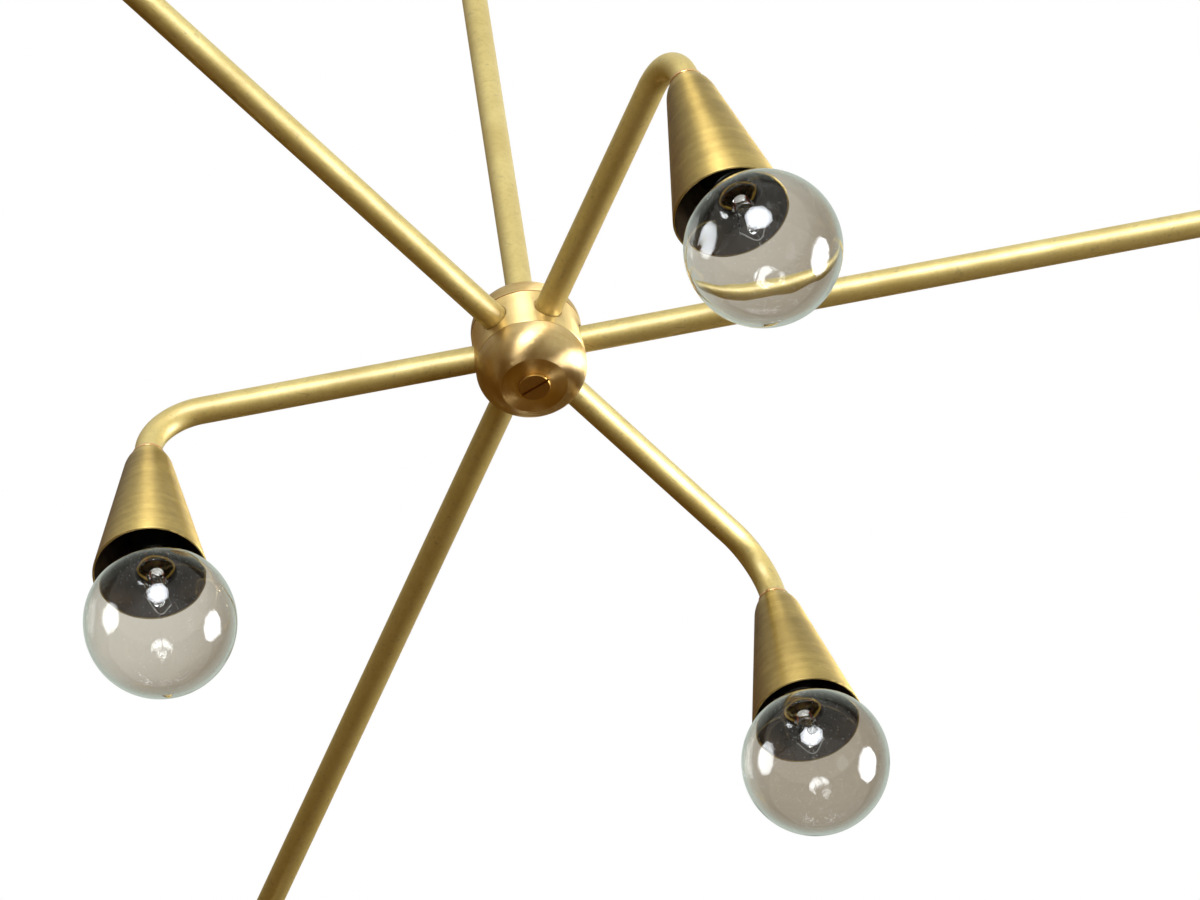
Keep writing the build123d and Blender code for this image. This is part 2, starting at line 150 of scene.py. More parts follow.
# sweeps rings of the given radii along a path; with two radii it is a tube with a bore
def sweepInto(shape, path, radii, sides, slotIndex=0):
    directions = []
    for index in range(len(path)):
        before = path[max(index - 1, 0)]
        after = path[min(index + 1, len(path) - 1)]
        directions.append((after - before).normalized())
    across = directions[0].orthogonal().normalized()
    frames = []
    for point, direction in zip(path, directions):
        across = (across - direction * across.dot(direction)).normalized()
        frames.append((point, across, direction.cross(across)))
    walls = []
    for radius in radii:
        wall = []
        for point, across, beside in frames:
            wall.append([shape.verts.new(point + (across * cos(2 * pi * side / sides)
                                                  + beside * sin(2 * pi * side / sides)) * radius)
                         for side in range(sides)])
        walls.append(wall)
    strips = [(wall[i], wall[i + 1]) for wall in walls for i in range(len(path) - 1)]
    if len(walls) == 2:
        strips += [(walls[0][0], walls[1][0]), (walls[0][-1], walls[1][-1])]
    else:
        for cap in (walls[0][0], walls[0][-1]):
            shape.faces.new(cap).material_index = slotIndex
    for low, high in strips:
        for side in range(sides):
            ahead = (side + 1) % sides
            face = shape.faces.new((low[side], low[ahead], high[ahead], high[side]))
            face.material_index = slotIndex


# a turned piece is set at its place without the turn about its own axis
def uprightPlace(place):
    axis = place.to_3x3() @ Vector((0, 0, 1))
    lean = Vector((0, 0, 1)).rotation_difference(axis).to_matrix().to_4x4()
    return Matrix.Translation(place.to_translation()) @ lean


# the lean goes into the mesh itself, and only the place stays with the object
def leanedMesh(mesh, place):
    leaned = mesh.copy()
    leaned.transform(uprightPlace(place).to_3x3().to_4x4())
    return leaned


def addObject(name, data, place):
    item = bpy.data.objects.new(name, data)
    bpy.context.scene.collection.objects.link(item)
    item.matrix_world = place
    return item


def addPiece(name, mesh, place, body, slotName, replaced, *materials):
    piece = addObject(name, mesh, place)
    if not mesh.materials:
        for material in materials:
            mesh.materials.append(material)
    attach(piece, body)
    if replaced:
        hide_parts(*replaced)


def armPlace(number):
    turn = layout["turn"].get(number, 0.0)
    around = 360 / layout["armCount"] * (number - 1)
    return shift(z=-layout["hubDrop"]) @ turnAbout("Z", around) @ turnAbout("X", turn)


def armReach(number):
    reach = layout["shortReach"] if number % 2 == 0 else layout["longReach"]
    return reach + layout["extraReach"].get(number, 0.0)


def lampPlace(number):
    tilt = layout["tilt"].get(number, 0.0)
    return armPlace(number) @ shift(x=armReach(number)) @ turnAbout("Y", -tilt)


def bulbPlace(number):
    leanX, leanY = layout["lean"].get(number, (0.0, 0.0))
    lean = turnAbout("X", leanX) @ turnAbout("Y", leanY)
    spin = turnAbout("Z", layout["spin"].get(number, 0.0))
    return lampPlace(number) @ shift(z=-armEnd) @ lean @ shift(z=armEnd - bulbCentre) @ spin


# colours are written as sRGB hex and given to the nodes as linear values
def tone(hexCode):
    channels = [int(hexCode[i:i + 2], 16) / 255 for i in (0, 2, 4)]
    linear = [c / 12.92 if c <= 0.04045 else ((c + 0.055) / 1.055) ** 2.4 for c in channels]
    return (*linear, 1.0)


def addNode(tree, kind, values=None, **settings):
    node = tree.nodes.new(kind)
    for key, value in settings.items():
        setattr(node, key, value)
    for key, value in (values or {}).items():
        if isinstance(value, bpy.types.NodeSocket):
            tree.links.new(value, node.inputs[key])
        else:
            node.inputs[key].default_value = value
    return node


def mathNode(tree, operation, first, second=None, clamp=False):
    values = {0: first}
    if second is not None:
        values[1] = second
    node = addNode(tree, "ShaderNodeMath", values, operation=operation, use_clamp=clamp)
    return node.outputs[0]


def rangeNode(tree, value, low, high, toLow=0.0, toHigh=1.0):
    node = addNode(tree, "ShaderNodeMapRange", {"Value": value, "From Min": low, "From Max": high,
                                                "To Min": toLow, "To Max": toHigh},
                   interpolation_type="SMOOTHSTEP")
    return node.outputs[0]


# sockets 6 and 7 of the mix node are its two colours, and output 2 is the mixed one
def mixColours(tree, factor, first, second):
    node = addNode(tree, "ShaderNodeMix", {0: factor, 6: first, 7: second}, data_type="RGBA")
    return node.outputs[2]


def newGroup(name, inputs, outputs):
    group = bpy.data.node_groups.new(name, "ShaderNodeTree")
    for socketName, kind, default in inputs:
        socket = group.interface.new_socket(socketName, in_out="INPUT", socket_type=kind)
        if default is not None:
            socket.default_value = default
    for socketName in outputs:
        group.interface.new_socket(socketName, in_out="OUTPUT", socket_type="NodeSocketFloat")
    start = group.nodes.new("NodeGroupInput")
    end = group.nodes.new("NodeGroupOutput")
    return group, start.outputs, end.inputs


def placeGroup(tree, group, values):
    return addNode(tree, "ShaderNodeGroup", values, node_tree=group).outputs


# cloudy tarnish: broad clouds broken up by small blotches
tarnishLook = {"finer": 9.0, "broadShare": 0.62, "fineShare": 0.38, "blotches": (0.55, 0.72)}


def makeTarnishGroup():
    group, given, made = newGroup("tarnishClouds", [
        ("Vector", "NodeSocketVector", None), ("Scale", "NodeSocketFloat", 60.0),
        ("Contrast", "NodeSocketFloat", 0.2)], ["Clouds", "Blotches"])
    broad = addNode(group, "ShaderNodeTexNoise", {"Vector": given["Vector"], "Scale": given["Scale"],
                                                  "Detail": 5.0, "Roughness": 0.6})
    fineScale = mathNode(group, "MULTIPLY", given["Scale"], tarnishLook["finer"])
    fine = addNode(group, "ShaderNodeTexNoise", {"Vector": given["Vector"], "Scale": fineScale,
                                                 "Detail": 4.0, "Roughness": 0.65})
    both = mathNode(group, "ADD",
                    mathNode(group, "MULTIPLY", broad.outputs[0], tarnishLook["broadShare"]),
                    mathNode(group, "MULTIPLY", fine.outputs[0], tarnishLook["fineShare"]))
    low = mathNode(group, "SUBTRACT", 0.5, given["Contrast"])
    high = mathNode(group, "ADD", 0.5, given["Contrast"])
    group.links.new(rangeNode(group, both, low, high), made["Clouds"])
    group.links.new(rangeNode(group, fine.outputs[0], *tarnishLook["blotches"]), made["Blotches"])
    return group


# fine lines round the Z axis, as a lathe or a brush on a turning piece leaves them
turnedLook = {"slant": 0.83, "bandShare": 0.12, "range": (0.3, 0.7)}


def makeTurnedGroup():
    group, given, made = newGroup("turnedLines", [
        ("Vector", "NodeSocketVector", None), ("Density", "NodeSocketFloat", 3000.0),
        ("Break", "NodeSocketFloat", 60.0)], ["Lines", "Bands"])
    parts = addNode(group, "ShaderNodeSeparateXYZ", {0: given["Vector"]}).outputs
    squares = [mathNode(group, "MULTIPLY", part, part) for part in (parts[0], parts[1])]
    reach = mathNode(group, "SQRT", mathNode(group, "ADD", *squares))
    along = mathNode(group, "ADD", parts[2], mathNode(group, "MULTIPLY", reach, turnedLook["slant"]))
    stretched = addNode(group, "ShaderNodeVectorMath", {0: given["Vector"]}, operation="SCALE")
    group.links.new(given["Break"], stretched.inputs["Scale"])
    fine = addNode(group, "ShaderNodeTexNoise", {
        "Vector": stretched.outputs[0], "W": mathNode(group, "MULTIPLY", along, given["Density"]),
        "Scale": 1.0, "Detail": 3.0, "Roughness": 0.7}, noise_dimensions="4D")
    slower = mathNode(group, "MULTIPLY", given["Density"], turnedLook["bandShare"])
    bands = addNode(group, "ShaderNodeTexNoise", {
        "Vector": stretched.outputs[0], "W": mathNode(group, "MULTIPLY", along, slower),
        "Scale": 1.0, "Detail": 2.0, "Roughness": 0.5}, noise_dimensions="4D")
    group.links.new(rangeNode(group, fine.outputs[0], *turnedLook["range"]), made["Lines"])
    group.links.new(rangeNode(group, bands.outputs[0], *turnedLook["range"]), made["Bands"])
    return group


# thin scratches that lie at random and fade in and out; each lay is (angle, stretch)
scratchLook = {"lays": ((0.5, 9.0), (2.1, 13.0), (1.2, 7.0)), "fade": (0.58, 0.7)}


def makeScratchGroup():
    group, given, made = newGroup("hairScratches", [
        ("Vector", "NodeSocketVector", None), ("Scale", "NodeSocketFloat", 40.0),
        ("Width", "NodeSocketFloat", 0.02)], ["Scratches"])
    total = None
    for angle, stretch in scratchLook["lays"]:
        placed = addNode(group, "ShaderNodeMapping", {
            "Vector": given["Vector"], "Rotation": (angle, angle * 0.7, angle * 1.9),
            "Scale": (1.0, stretch, stretch)})
        cells = addNode(group, "ShaderNodeTexVoronoi", {"Vector": placed.outputs[0],
                                                        "Scale": given["Scale"]},
                        feature="DISTANCE_TO_EDGE")
        line = mathNode(group, "LESS_THAN", cells.outputs[0], given["Width"])
        fade = addNode(group, "ShaderNodeTexNoise", {
            "Vector": given["Vector"], "Scale": 90.0 * (1 + angle), "Detail": 2.0})
        line = mathNode(group, "MULTIPLY", line,
                        rangeNode(group, fade.outputs[0], *scratchLook["fade"]))
        total = line if total is None else mathNode(group, "MAXIMUM", total, line)
    group.links.new(total, made["Scratches"])
    return group


# where an edge stands out its finish is rubbed bright, and that brightening is also a painted highlight
# along the ridge
def makeRubbedGroup():
    group, given, made = newGroup("rubbedEdgesAndSheen", [
        ("Low", "NodeSocketFloat", 0.51), ("High", "NodeSocketFloat", 0.58)], ["Rubbed"])
    geometry = addNode(group, "ShaderNodeNewGeometry")
    node = addNode(group, "ShaderNodeMapRange", {"Value": geometry.outputs["Pointiness"],
                                                 "From Min": given["Low"], "From Max": given["High"]})
    group.links.new(node.outputs[0], made["Rubbed"])
    return group


tarnishGroup = makeTarnishGroup()
turnedGroup = makeTurnedGroup()
scratchGroup = makeScratchGroup()
rubbedSheenGroup = makeRubbedGroup()
print("shader groups built")


def newMaterial(name, **shaderValues):
    material = bpy.data.materials.new(name)
    material.use_nodes = True
    tree = material.node_tree
    shader = tree.nodes["Principled BSDF"]
    for key, value in shaderValues.items():
        shader.inputs[key.replace("_", " ")].default_value = value
    return material, tree, shader


# object coordinates, moved on by a different amount for every piece so that no two match
def pieceVector(tree, wander=0.0):
    place = addNode(tree, "ShaderNodeTexCoord").outputs["Object"]
    if wander == 0.0:
        return place
    chance = addNode(tree, "ShaderNodeObjectInfo").outputs["Random"]
    offset = mathNode(tree, "MULTIPLY", chance, wander)
    return addNode(tree, "ShaderNodeVectorMath", {0: place, 1: offset}, operation="ADD").outputs[0]


def addBump(tree, shader, height, strength, reach):
    bump = addNode(tree, "ShaderNodeBump", {"Strength": strength, "Distance": reach,
                                            "Height": height})
    tree.links.new(bump.outputs[0], shader.inputs["Normal"])


tubeFinish = {"light": "dac67c", "dark": "bea658", "stain": "785f24", "cloudScale": 42.0,
              "spots": 0.4, "scratched": 0.45, "roughLow": 0.56, "roughHigh": 0.66,
              "grain": 0.02, "coat": 0.9, "coatRoughness": 0.42, "coatIor": 1.85}


def tubeBrass():
    material, tree, shader = newMaterial("tubeBrass", Metallic=1.0,
                                         Coat_Weight=tubeFinish["coat"],
                                         Coat_Roughness=tubeFinish["coatRoughness"],
                                         Coat_IOR=tubeFinish["coatIor"])
    place = pieceVector(tree, wander=3.0)
    clouds = placeGroup(tree, tarnishGroup, {"Vector": place, "Scale": tubeFinish["cloudScale"],
                                             "Contrast": 0.22})
    scratches = placeGroup(tree, scratchGroup, {"Vector": place, "Scale": 30.0, "Width": 0.012})
    base = mixColours(tree, clouds["Clouds"], tone(tubeFinish["dark"]), tone(tubeFinish["light"]))
    spots = mathNode(tree, "MULTIPLY", clouds["Blotches"], tubeFinish["spots"])
    base = mixColours(tree, spots, base, tone(tubeFinish["stain"]))
    shade = mathNode(tree, "MULTIPLY", scratches["Scratches"], tubeFinish["scratched"])
    base = mixColours(tree, shade, base, tone(tubeFinish["stain"]))
    tree.links.new(base, shader.inputs["Base Color"])
    rough = rangeNode(tree, clouds["Clouds"], 0.0, 1.0, tubeFinish["roughHigh"],
                      tubeFinish["roughLow"])
    tree.links.new(rough, shader.inputs["Roughness"])
    grain = addNode(tree, "ShaderNodeTexNoise", {"Vector": place, "Scale": 2200.0, "Detail": 3.0})
    addBump(tree, shader, grain.outputs[0], tubeFinish["grain"], reach=0.0004)
    return material


# a turned or brushed brass; the finish dictionary gives its colours and how coarse it is
def turnedBrass(name, finish):
    material, tree, shader = newMaterial(name, Metallic=1.0, Anisotropic=finish["anisotropic"],
                                         Anisotropic_Rotation=finish["brushed"],
                                         Coat_Weight=finish["coat"], Coat_Roughness=0.2)
    place = pieceVector(tree)
    wandering = pieceVector(tree, wander=5.0)
    lines = placeGroup(tree, turnedGroup, {"Vector": place, "Density": finish["density"],
                                           "Break": finish["breakUp"]})
    clouds = placeGroup(tree, tarnishGroup, {"Vector": wandering, "Scale": finish["cloudScale"],
                                             "Contrast": 0.2})
    rubbedAndSheen = placeGroup(tree, rubbedSheenGroup, {})
    base = mixColours(tree, clouds["Clouds"], tone(finish["dark"]), tone(finish["light"]))
    streak = mathNode(tree, "MULTIPLY", lines["Bands"], finish["streak"])
    base = mixColours(tree, streak, base, tone(finish["streakTone"]))
    # ridges take the edge tone: rubbed brass, and a painted highlight along them
    bright = mathNode(tree, "MULTIPLY", rubbedAndSheen["Rubbed"], finish["rubbedAndSheen"], clamp=True)
    base = mixColours(tree, bright, base, tone(finish["edge"]))
    tree.links.new(base, shader.inputs["Base Color"])
    rough = mathNode(tree, "ADD", finish["rough"],
                     mathNode(tree, "MULTIPLY", lines["Lines"], finish["roughSpread"]))
    tree.links.new(rough, shader.inputs["Roughness"])
    addBump(tree, shader, lines["Lines"], finish["depth"], reach=0.0003)
    around = addNode(tree, "ShaderNodeTangent", direction_type="RADIAL", axis="Z")
    tree.links.new(around.outputs[0], shader.inputs["Tangent"])
    return material


# each finish's edge tone is rubbed brass on ridges, and also a painted highlight there
hubFinish = {"light": "e6cd9a", "dark": "d5b57a", "streakTone": "b08c4e", "edge": "f6d894",
             "density": 2600.0, "breakUp": 40.0, "cloudScale": 45.0, "streak": 0.35,
             "rubbedAndSheen": 0.8, "rough": 0.33, "roughSpread": 0.12, "depth": 0.10,
             "anisotropic": 0.92, "brushed": 0.25, "coat": 0.15}
# the domes were rubbed down on a slant, which turns their bright fans
domeFinish = {**hubFinish, "brushed": 0.17}
# the flat round the screw is smoother than the dome, and its darker brass is painted shade of that face
flatPaintedShadeFinish = {**hubFinish, "light": "c8a35e", "dark": "ae8742", "rough": 0.28}
canopyFinish = {**hubFinish, "density": 1500.0, "rough": 0.5, "anisotropic": 0.6}
coneFinish = {"light": "c0a65e", "dark": "9f8648", "streakTone": "7a622e", "edge": "efd386",
              "density": 2300.0, "breakUp": 30.0, "cloudScale": 38.0, "streak": 0.4,
              "rubbedAndSheen": 0.9, "rough": 0.46, "roughSpread": 0.12, "depth": 0.14,
              "anisotropic": 0.85, "brushed": 0.25, "coat": 0.4}
collarFinish = {"light": "e6c08a", "dark": "cf9f68", "streakTone": "a37640", "edge": "f8dfb8",
                "density": 3000.0, "breakUp": 20.0, "cloudScale": 80.0, "streak": 0.2,
                "rubbedAndSheen": 0.5, "rough": 0.16, "roughSpread": 0.08, "depth": 0.05,
                "anisotropic": 0.4, "brushed": 0.25, "coat": 0.3}


plainFinish = {"rubbedAndSheen": 0.5, "roughSpread": 0.12, "depth": 0.06}


def plainMetal(name, light, dark, roughness, scale=160.0):
    material, tree, shader = newMaterial(name, Metallic=1.0)
    place = pieceVector(tree, wander=2.0)
    clouds = placeGroup(tree, tarnishGroup, {"Vector": place, "Scale": scale, "Contrast": 0.22})
    rubbedAndSheen = placeGroup(tree, rubbedSheenGroup, {})
    base = mixColours(tree, clouds["Clouds"], tone(dark), tone(light))
    # ridges are lightened: rubbed brass, and a painted highlight along them
    bright = mathNode(tree, "MULTIPLY", rubbedAndSheen["Rubbed"], plainFinish["rubbedAndSheen"])
    base = mixColours(tree, bright, base, tone(light))
    tree.links.new(base, shader.inputs["Base Color"])
    rough = rangeNode(tree, clouds["Clouds"], 0.0, 1.0, roughness + plainFinish["roughSpread"],
                      roughness)
    tree.links.new(rough, shader.inputs["Roughness"])
    addBump(tree, shader, clouds["Clouds"], plainFinish["depth"], reach=0.0003)
    return material


darkFinish = {"roughSpread": 0.1, "depth": 0.15}


def darkPaint(name, light, dark, roughness, shine=0.5):
    material, tree, shader = newMaterial(name, Specular_IOR_Level=shine)
    place = pieceVector(tree, wander=2.0)
    clouds = placeGroup(tree, tarnishGroup, {"Vector": place, "Scale": 120.0, "Contrast": 0.25})
    tree.links.new(mixColours(tree, clouds["Clouds"], tone(dark), tone(light)),
                   shader.inputs["Base Color"])
    rough = rangeNode(tree, clouds["Clouds"], 0.0, 1.0, roughness + darkFinish["roughSpread"],
                      roughness)
    tree.links.new(rough, shader.inputs["Roughness"])
    grain = addNode(tree, "ShaderNodeTexNoise", {"Vector": place, "Scale": 1800.0, "Detail": 2.0})
    addBump(tree, shader, grain.outputs[0], darkFinish["depth"], reach=0.0002)
    return material


glassFinish = {"dust": "c9cdc6", "speckSize": 0.07, "dusty": 0.3}


# blown glass: nearly smooth, with faint waves, and a few specks of dust on it
def clearGlass(name, tint, waves):
    material, tree, shader = newMaterial(name, Transmission_Weight=1.0, IOR=1.5, Metallic=0.0)
    place = pieceVector(tree, wander=4.0)
    dust = addNode(tree, "ShaderNodeTexVoronoi", {"Vector": place, "Scale": 520.0})
    specks = mathNode(tree, "LESS_THAN", dust.outputs["Distance"], glassFinish["speckSize"])
    dusty = mathNode(tree, "MULTIPLY", specks, glassFinish["dusty"])
    tree.links.new(mixColours(tree, dusty, tone(tint), tone(glassFinish["dust"])),
                   shader.inputs["Base Color"])
    tree.links.new(dusty, shader.inputs["Roughness"])
    slow = addNode(tree, "ShaderNodeTexNoise", {"Vector": place, "Scale": 70.0, "Detail": 1.0})
    addBump(tree, shader, slow.outputs[0], waves, reach=0.0006)
    return material


tubeMetal = tubeBrass()
hubMetal = turnedBrass("hubBrass", hubFinish)
domeMetal = turnedBrass("domeBrass", domeFinish)
flatPaintedShadeMetal = turnedBrass("flatBrassPaintedShade", flatPaintedShadeFinish)
canopyMetal = turnedBrass("canopyBrass", canopyFinish)
screwMetal = plainMetal("screwBrass", light="b98f4a", dark="8e6a32", roughness=0.34)
coneMetal = turnedBrass("coneBrass", coneFinish)
collarMetal = turnedBrass("collarBrass", collarFinish)
fastenerMetal = plainMetal("fastenerBrass", light="c9a357", dark="94743a", roughness=0.3)
baseMetal = plainMetal("bulbBaseBrass", light="e8c468", dark="c89d48", roughness=0.3)
strapMetal = plainMetal("strapZinc", light="c6c9ca", dark="9a9da0", roughness=0.32)
wireMetal = plainMetal("nickelWire", light="c9c6c0", dark="8f8c88", roughness=0.2, scale=900.0)
copperMetal = plainMetal("copperWire", light="d0714a", dark="8a4429", roughness=0.25, scale=900.0)
coilMetal = plainMetal("filamentWire", light="d2cfcb", dark="a5a09b", roughness=0.4, scale=900.0)
# darker brass for the inside of the bulb cap's cup: painted shade
cupPaintedShadeMetal = plainMetal("cupBrassPaintedShade", light="8a6c3a", dark="5c4522", roughness=0.45)
seamMetal = plainMetal("seamBrass", light="9a5a20", dark="5e3410", roughness=0.5)
solderMetal = plainMetal("solderTip", light="b9bcbc", dark="86898a", roughness=0.35, scale=500.0)
coneLining = darkPaint("coneLining", light="54422f", dark="35281b", roughness=0.75, shine=0.1)
holderPlastic = darkPaint("holderPlastic", light="1d1a17", dark="0b0a09", roughness=0.4)
insulatorGlass = darkPaint("insulatorGlass", light="151518", dark="08080a", roughness=0.15)
globeGlass = clearGlass("globeGlass", tint="fbfbf9", waves=0.45)
mountGlass = clearGlass("mountGlass", tint="fafaf8", waves=0.2)
print("materials built")


def armMesh(number):
    tilt = radians(layout["tilt"].get(number, 0.0))
    reach = armReach(number)
    bend = tubeShape["bend"]
    turning = pi / 2 - tilt        # how far the tube turns downwards in its bend
    run = bend * sin(turning / 2) / cos(turning / 2)
    path = [Vector((tubeShape["start"], 0, 0))]
    for step in range(tubeShape["bendSteps"] + 1):
        angle = turning * step / tubeShape["bendSteps"]
        path.append(Vector((reach - run + bend * sin(angle), 0, -bend * (1 - cos(angle)))))
    path.append(Vector((reach + armEnd * sin(tilt), 0, -armEnd * cos(tilt))))
    shape = bmesh.new()
    sweepInto(shape, path, (tubeShape["radius"], tubeShape["radius"] - tubeShape["wall"]),
              tubeShape["sides"])
    return finishMesh(shape, f"armTube{number}", sharpAngle=50)


def collarMesh():
    inner = tubeShape["radius"] + collarShape["gap"]
    top, soft = -collarShape["drop"], collarShape["soft"]
    return latheMesh("collarRing", softCorners([
        (inner, top), (collarShape["radius"], top, soft),
        (collarShape["radius"], top - collarShape["flange"], soft),
        (collarShape["land"], top - collarShape["flange"]),
        (collarShape["land"], -coneTop), (inner, -coneTop)]))


def coneMesh():
    wall, soft = coneShape["wall"], coneShape["soft"]
    shoulderZ, rimZ = -coneTop - coneShape["neckHeight"], -coneRim
    # the shoulder is the arc that runs on from the straight side and ends at the neck
    side = Vector((coneShape["shoulder"] - coneShape["rim"], shoulderZ - rimZ)).normalized()
    normal = Vector((side.y, -side.x))
    chord = Vector((coneShape["neck"], -coneTop)) - Vector((coneShape["shoulder"], shoulderZ))
    arcRadius = chord.length_squared / (2 * -chord.dot(normal))
    centre = Vector((coneShape["shoulder"], shoulderZ)) - normal * arcRadius
    first = atan2(shoulderZ - centre.y, coneShape["shoulder"] - centre.x) * 180 / pi
    last = atan2(-coneTop - centre.y, coneShape["neck"] - centre.x) * 180 / pi
    shoulder = arcPoints(centre, arcRadius, first, last, steps=14)
    bore = tubeShape["radius"] + coneShape["gap"]
    rimRadius = coneShape["rim"]
    lip = softCorners([(bore, shoulderZ), (coneShape["shoulder"] - wall, shoulderZ),
                       (rimRadius - wall, rimZ, soft), (rimRadius, rimZ, soft),
                       (coneShape["shoulder"], shoulderZ)])
    # the last point of the lip is also the first of the shoulder
    outline = [(bore, -coneTop)] + lip[:-1] + shoulder
    mesh = latheMesh("coneShell", outline, sides=160, sharpAngle=40)
    mesh.materials.append(coneMetal)
    mesh.materials.append(coneLining)
    # faces that look at the axis, or down from the top of the hollow, have the dark lining
    for face in mesh.polygons:
        outward = face.center.x * face.normal.x + face.center.y * face.normal.y
        reach = hypot(face.center.x, face.center.y)
        if outward < -0.3 * reach or (face.normal.z < -0.5 and face.center.z > rimZ + 2 * wall):
            face.material_index = 1
    return mesh


# one side of the bulb glass, from the bottom of the globe to the top of its neck
def globeSide(radius, lift, neck):
    rise = bulbShape["lip"] - lift
    hollow = (neck ** 2 + rise ** 2 - radius ** 2) / (2 * (radius - neck))
    meet = atan2(rise, neck + hollow) * 180 / pi
    ball = arcPoints((0, lift), radius, -90, meet, steps=72)
    throat = arcPoints((neck + hollow, bulbShape["lip"]), hollow, 180 + meet, 180, steps=16)
    ball[0] = (0.0, ball[0][1])
    return ball + throat[1:] + [(neck, bulbShape["lip"] + bulbShape["neckLength"])]


def globeMesh():
    wall, thicker = bulbShape["wall"], bulbShape["thicker"]
    outside = globeSide(bulbShape["radius"], 0.0, bulbShape["neck"])
    inside = globeSide(bulbShape["radius"] - wall - thicker / 2, thicker / 2,
                       bulbShape["neck"] - wall)
    return latheMesh("bulbGlobe", outside + inside[::-1], bulbShape["sides"], sharpAngle=60)


baseShape = {"lipRadius": 6.4 * mm, "lipHeight": 1.2 * mm, "lowSoft": 0.3 * mm, "highSoft": 0.4 * mm,
             "cupGap": 0.05 * mm, "cupDepth": 2.9 * mm, "root": 5.45 * mm, "crest": 5.9 * mm,
             "pitch": 2.54 * mm, "threadSteps": 72, "runOut": 1.0 * mm, "shell": 13.0 * mm,
             "rollIn": 0.6 * mm, "rollUp": 0.3 * mm, "insulator": 3.0 * mm, "tip": 2.6 * mm,
             "tipHeight": 2.0 * mm, "tipSoft": 1.0 * mm}


def baseMesh():
    low = bulbShape["lip"]
    shellLow = low + baseShape["lipHeight"]
    shellTop = shellLow + baseShape["shell"]
    middle = (baseShape["root"] + baseShape["crest"]) / 2
    depth = (baseShape["crest"] - baseShape["root"]) / 2
    cup, cupTop = bulbShape["neck"] + baseShape["cupGap"], low + baseShape["cupDepth"]
    lipRadius, runOut = baseShape["lipRadius"], baseShape["runOut"]
    lip = softCorners([(cup, cupTop), (cup, low), (lipRadius, low, baseShape["lowSoft"]),
                       (lipRadius, shellLow, baseShape["highSoft"]), (middle, shellLow)])
    steps = baseShape["threadSteps"]
    threads = [(middle, shellLow + (shellTop - shellLow) * (i + 1) / (steps + 1)) for i in range(steps)]
    rolled = (middle - baseShape["rollIn"], shellTop + baseShape["rollUp"])
    outline = lip + threads + [(middle, shellTop), rolled]
    firstThread = len(lip)

    # the thread winds round as a wave and runs out at both ends of the shell
    def threadRipple(index, height, angle):
        if not firstThread <= index < firstThread + steps:
            return 0.0
        ends = min(1.0, (height - shellLow) / runOut, (shellTop - height) / runOut)
        return depth * ends * sin(2 * pi * height / baseShape["pitch"] - angle)

    insulatorTop = shellTop + baseShape["insulator"]
    tipTop = insulatorTop + baseShape["tipHeight"]
    tip, soft = baseShape["tip"], baseShape["tipSoft"]
    outline += [(tip, insulatorTop), (tip, tipTop - soft)]
    outline += arcPoints((tip - soft, tipTop - soft), soft, 0, 90, steps=6)[1:]
    outline += [(0.0, tipTop), (0.0, cupTop)]
    mesh = latheMesh("bulbCap", outline, sharpAngle=45, ripple=threadRipple)
    for material in (baseMetal, insulatorGlass, solderMetal, cupPaintedShadeMetal):
        mesh.materials.append(material)
    for face in mesh.polygons:
        reach = hypot(face.center.x, face.center.y)
        # the ceiling of the cup, deep inside the shell, takes the darker brass: painted shade
        if reach < cup - 0.02 * mm and face.center.z < low + 3 * mm:
            face.material_index = 3
        elif face.center.z > insulatorTop - 0.01 * mm:
            face.material_index = 2
        elif face.center.z > shellTop + 0.2 * mm:
            face.material_index = 1
    return mesh


mountShape = {"wire": 0.17 * mm, "inner": 0.24 * mm, "spread": 4.5 * mm, "leadEnd": 11.0 * mm,
              "hook": 2.0 * mm, "coil": 0.15 * mm, "coilWire": 0.062 * mm, "coilTurns": 112,
              "bore": 25.6 * mm, "wall": 0.6 * mm, "lump": 0.16 * mm, "turnSteps": 8}
# the stem of glass inside the bulb, as (height, half width, half depth) in millimetres: a
# flared tube that the jaws have squeezed flat round the wires, ending in a button
stemRings = ((31.3, 4.6, 4.6), (30.2, 3.9, 3.9), (28.8, 3.0, 3.0), (27.2, 2.5, 2.5),
             (25.6, 2.4, 2.4), (24.6, 2.7, 2.5), (23.8, 3.3, 2.1), (23.0, 3.7, 1.6),
             (22.2, 3.8, 1.3), (21.2, 3.4, 1.1), (20.2, 2.6, 1.2), (19.4, 1.7, 1.3),
             (18.2, 1.3, 1.2), (16.6, 1.6, 1.5), (15.2, 1.2, 1.1), (13.8, 1.1, 1.1),
             (12.6, 1.3, 1.2), (11.6, 1.9, 1.8), (10.8, 2.2, 2.1), (10.0, 2.0, 1.9),
             (9.3, 1.2, 1.2), (9.0, 0.5, 0.5))


def smoothRings(rings):
    for _ in range(2):
        cut = [rings[0]]
        for first, second in zip(rings, rings[1:]):
            cut += [tuple(a + (b - a) * share for a, b in zip(first, second)) for share in (0.25, 0.75)]
        rings = cut + [rings[-1]]
    return rings


